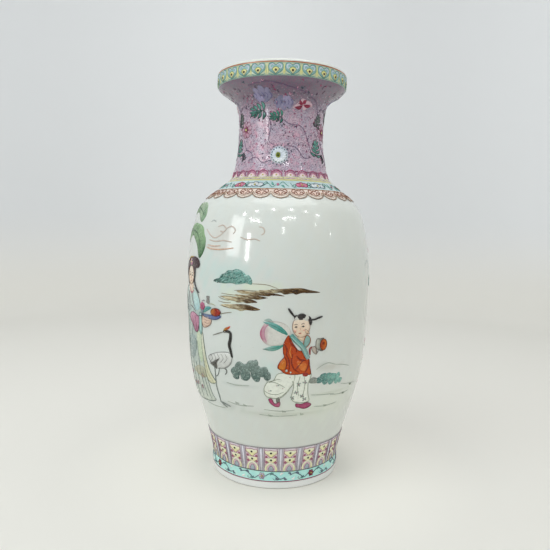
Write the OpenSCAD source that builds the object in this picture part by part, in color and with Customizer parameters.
// Tall cylindrical porcelain vase with a dished mouth.
// Thrown and turned porcelain sections are luted end to end with slip, then
// glazed, and bands of enamel are fired onto the outside.
// Z is the axis of the vase and the foot rim stands on z = 0.

/* [Heights] */
// Height from the foot rim to the top of the lip
vase_h = 460; // [458:1:464]
// Height of the waist above the foot
waist_h = 20; // [18:1:22]
// Height of the lower quarter, where the wall straightens
quarter_h = 118; // [112:1:124]
// Height of the widest part of the belly
belly_h = 233; // [226:1:240]
// Height where the shoulder turns inwards
shoulder_h = 302; // [300:1:304]
// Height where the shoulder meets the neck
root_h = 342; // [341:0.5:344]
// Height of the narrowest part of the neck
throat_h = 385; // [382:1:388]
// Height where the neck opens into the mouth
flare_h = 428; // [427:0.5:429]
// Height of the middle of the dish's underside
dish_h = 438; // [437.5:0.5:438.5]
// Height where the upright collar starts
collar_h = 446; // [445:0.5:447]

/* [Radii] */
// Radius of the foot ring outside
foot_r = 74.5; // [74:0.5:76]
// Radius at the waist above the foot
waist_r = 74; // [73:0.5:75]
// Radius at the lower quarter
quarter_r = 99.8; // [99:0.2:101]
// Radius of the belly at its widest
belly_r = 106.3; // [105.5:0.1:107]
// Radius where the shoulder turns inwards
shoulder_r = 95.3; // [94:0.1:97]
// Radius where the shoulder meets the neck
root_r = 55.6; // [54:0.1:57]
// Radius of the neck at its narrowest
throat_r = 48.3; // [47:0.1:50]
// Radius where the neck opens into the mouth
flare_r = 53.8; // [53:0.1:55]
// Radius at the middle of the dish's underside
dish_r = 68.1; // [67:0.1:69]
// Radius of the upright collar
mouth_r = 73.3; // [72.5:0.1:74]

/* [Porcelain] */
// Wall thickness
wall = 6; // [5:0.5:6.5]
// Length of the straight bore in the neck
bore_h = 20; // [10:1:30]
// Thickness of the base plate
base_t = 9; // [6:0.5:12]
// Width of the foot ring
foot_w = 8.5; // [7.5:0.5:10]
// Rounding of the foot ring's edges
foot_edge = 2.2; // [1:0.1:3]
// Size of the slip fillet round the inside of the base
fillet_r = 10; // [6:1:10]
// Half height of the slip seam inside each joint
seam_h = 4; // [3:0.5:5]
// Thickness of the slip seam inside each joint
seam_t = 1.4; // [1:0.1:2]

/* [Enamel] */
// Thickness of the fired enamel
enamel_t = 0.3; // [0.2:0.05:0.4]
// Top of the bare white foot rim
bare_foot_h = 8; // [7:0.5:9]
// Height of the puce line over the foot rim
foot_line_h = 1.2; // [0.8:0.1:1.6]
// Top of the lappet band
lappet_top = 49; // [45:1:52]
// Bottom of the scalloped band on the shoulder
ruyi_low = 316.2; // [315:0.2:318]
// Bottom of the turquoise band on the shoulder
floral_low = 326.4; // [325:0.2:328]
// Bottom of the yellow line under the neck
yellow_low = 336; // [335:0.2:337]
// Bottom of the neck's pink ground
ground_low = 338; // [337.8:0.2:339]
// Top of the arches at the neck's foot
arches_top = 352; // [350:1:356]
// Depth of the border round the mouth
rim_border_h = 13; // [12:0.5:14]
// Height of the coral line under the lip
rim_line_h = 1.7; // [1:0.1:2]

/* [Hidden] */
around = 180;
lip_h = vase_h - wall / 2;
rim_top = lip_h;
rim_line_low = rim_top - rim_line_h;
rim_border_low = rim_line_low - rim_border_h;
foot_line_top = bare_foot_h + foot_line_h;
floor_h = waist_h;

// The outside of the vase is a chain of cubic curves between stations:
// [radius, height, direction coming in, direction going out, handle in, handle out].
// Directions are degrees from level, so 90 is straight up and over 90 leans in.
stations = [
    [foot_r, bare_foot_h, 90, 90, 0, 4],
    [waist_r, waist_h, 90, 90, 4, 16],
    [quarter_r, quarter_h, 78.5, 78.5, 34, 32],
    [belly_r, belly_h, 90, 90, 16, 22],
    [shoulder_r, shoulder_h, 110, 110, 20, 19],
    [root_r, root_h, 132, 106, 24, 11],
    [throat_r, throat_h, 90, 90, 12, 14],
    [flare_r, flare_h, 45, 45, 8, 6],
    [dish_r, dish_h, 31, 31, 6.5, 3.6],
    [mouth_r, collar_h, 90, 90, 3.2, 3],
    [mouth_r, lip_h, 90, 90, 3, 0]
];

function polar(size, angle) = size * [cos(angle), sin(angle)];

// Point at parameter t on the curve that leaves station i
function curve(i, t) =
    let (
        a = [stations[i][0], stations[i][1]],
        d = [stations[i + 1][0], stations[i + 1][1]],
        b = a + polar(stations[i][5], stations[i][3]),
        c = d - polar(stations[i + 1][4], stations[i + 1][2]),
        u = 1 - t
    )
    u * u * u * a + 3 * u * u * t * b + 3 * u * t * t * c + t * t * t * d;

// Parameter at which the curve that leaves station i passes height z
function t_at(i, z, low = 0, high = 1, rounds = 26) =
    let (middle = (low + high) / 2)
    rounds == 0 ? middle
        : curve(i, middle)[1] < z ? t_at(i, z, middle, high, rounds - 1)
        : t_at(i, z, low, middle, rounds - 1);

function station_below(z, i = 0) =
    i >= len(stations) - 2 || z <= stations[i + 1][1] ? i : station_below(z, i + 1);

function outer_r(z) =
    z <= bare_foot_h ? foot_r
        : z >= lip_h ? mouth_r
        : let (i = station_below(z)) curve(i, t_at(i, z))[0];

// Outward direction at height z, averaged over a few millimetres of the wall
function normal(z, reach = 2) =
    let (run = [outer_r(z + reach) - outer_r(z - reach), 2 * reach])
    [run[1], -run[0]] / norm(run);

function outer(z, lift = 0) = [outer_r(z), z] + lift * normal(z);

// The inside follows the outside at one wall's thickness, with a level joint at
// the waist and a straight bore at the narrowest part of the neck
function inner(z, lift = 0) =
    z <= waist_h ? [waist_r - wall - lift, waist_h]
        : abs(z - throat_h) <= bore_h / 2 + 0.01 ? [throat_r - wall - lift, z]
        : [outer_r(z), z] - (wall + lift) * normal(z);

function reversed(list) = [for (i = [len(list) - 1 : -1 : 0]) list[i]];

// Heights at which a section, a seam or a band starts or ends
marks = [
    bare_foot_h, foot_line_top, waist_h, waist_h + fillet_r, lappet_top, quarter_h,
    belly_h - seam_h, belly_h, belly_h + seam_h,
    shoulder_h - seam_h, shoulder_h, shoulder_h + seam_h,
    ruyi_low, floral_low, yellow_low, root_h - seam_h - 0.5, ground_low, root_h,
    root_h + seam_h, arches_top, throat_h - bore_h / 2, throat_h + bore_h / 2,
    flare_h - seam_h, flare_h, flare_h + seam_h, dish_h, rim_border_low, collar_h,
    rim_line_low, rim_top
];

// Longest step between two rings of the wall at height z
function ring_step(z) =
    z < shoulder_h - 14 ? 9 : z < throat_h - 20 ? 3 : z < flare_h - 12 ? 6 : 1.3;

function rings_between(z0, z1) =
    let (count = ceil((z1 - z0) / ring_step(z0)))
    [for (i = [1 : count]) z0 + (z1 - z0) * i / count];

rings = concat(
    [marks[0]],
    [for (i = [1 : len(marks) - 1]) each rings_between(marks[i - 1], marks[i])]
);

function rings_in(z0, z1) = [for (z = rings) if (z > z0 - 0.001 && z < z1 + 0.001) z];

module turned(outline) rotate_extrude($fn = around) polygon(outline);

// One thrown section of the wall between two heights
module wall_section(z0, z1)
    let (heights = rings_in(z0, z1))
    turned(concat(
        [for (z = heights) outer(z)],
        [for (z = reversed(heights)) inner(z)]
    ));

// The slip wiped over the inside of a joint: a low rounded band
module slip_seam(joint)
    let (
        heights = rings_in(joint - seam_h - 0.6, joint + seam_h),
        low = heights[0],
        span = heights[len(heights) - 1] - low
    )
    turned(concat(
        [for (z = heights) inner(z)],
        [
            for (i = [11 : -1 : 1])
            let (z = low + span * i / 12)
            inner(z, seam_t * sin(180 * i / 12))
        ]
    ));

// A band of enamel lying on the outside between two heights
module enamel_band(z0, z1)
    let (heights = rings_in(z0, z1))
    turned(concat(
        [for (z = heights) outer(z, enamel_t)],
        [for (z = reversed(heights)) outer(z)]
    ));

module foot_ring()
    color("white")
    let (
        inner_r = foot_r - foot_w,
        corner = foot_r - foot_edge,
        inner_corner = inner_r + foot_edge
    )
    turned(concat(
        [for (a = [270 : 15 : 360]) [corner, foot_edge] + polar(foot_edge, a)],
        [for (z = rings_in(bare_foot_h, waist_h)) outer(z)],
        [[inner_r, waist_h]],
        [for (a = [180 : 15 : 270]) [inner_corner, foot_edge] + polar(foot_edge, a)]
    ));

module base_plate()
    color("ghostwhite")
    translate([0, 0, floor_h - base_t])
    cylinder(r = foot_r - foot_w, h = base_t, $fn = around);

module lower_body() color("white") wall_section(waist_h, belly_h);
module upper_body() color("ghostwhite") wall_section(belly_h, shoulder_h);
module shoulder() color("white") wall_section(shoulder_h, root_h);
module neck() color("ghostwhite") wall_section(root_h, flare_h);

module mouth()
    color("white")
    let (
        heights = rings_in(flare_h, lip_h),
        middle = [mouth_r - wall / 2, lip_h]
    )
    turned(concat(
        [for (z = heights) outer(z)],
        [for (a = [15 : 15 : 165]) middle + polar(wall / 2, a)],
        [for (z = reversed(heights)) inner(z)]
    ));

// The slip worked into the corner between the floor and the wall
module base_fillet()
    color("gainsboro")
    let (
        heights = rings_in(waist_h, waist_h + fillet_r),
        top = inner(waist_h + fillet_r),
        corner = inner(waist_h),
        edge = corner - [fillet_r, 0],
        pull = corner + [-fillet_r / 6, fillet_r / 10]
    )
    turned(concat(
        [for (z = heights) inner(z)],
        [
            for (t = [0.16 : 0.16 : 0.9])
            let (u = 1 - t)
            u * u * top + 2 * u * t * pull + t * t * edge
        ],
        [edge]
    ));

module belly_seam() color("gainsboro") slip_seam(belly_h);
module shoulder_seam() color("gainsboro") slip_seam(shoulder_h);
module neck_seam() color("gainsboro") slip_seam(root_h);
module mouth_seam() color("gainsboro") slip_seam(flare_h);

module foot_line_enamel() color("mediumvioletred") enamel_band(bare_foot_h, foot_line_top);
module foot_scroll_enamel() color("paleturquoise") enamel_band(foot_line_top, waist_h);
module lappet_enamel() color("thistle") enamel_band(waist_h, lappet_top);
module ruyi_enamel() color("bisque") enamel_band(ruyi_low, floral_low);
module floral_enamel() color("lightcyan") enamel_band(floral_low, yellow_low);
module yellow_line_enamel() color("khaki") enamel_band(yellow_low, ground_low);
module neck_arch_enamel() color("palevioletred") enamel_band(ground_low, arches_top);
module neck_ground_enamel() color("plum") enamel_band(arches_top, rim_border_low);
module rim_border_enamel() color("palegreen") enamel_band(rim_border_low, rim_line_low);
module rim_line_enamel() color("coral") enamel_band(rim_line_low, rim_top);

foot_ring();
base_plate();
lower_body();
upper_body();
shoulder();
neck();
mouth();
base_fillet();
belly_seam();
shoulder_seam();
neck_seam();
mouth_seam();
foot_line_enamel();
foot_scroll_enamel();
lappet_enamel();
ruyi_enamel();
floral_enamel();
yellow_line_enamel();
neck_arch_enamel();
neck_ground_enamel();
rim_border_enamel();
rim_line_enamel();
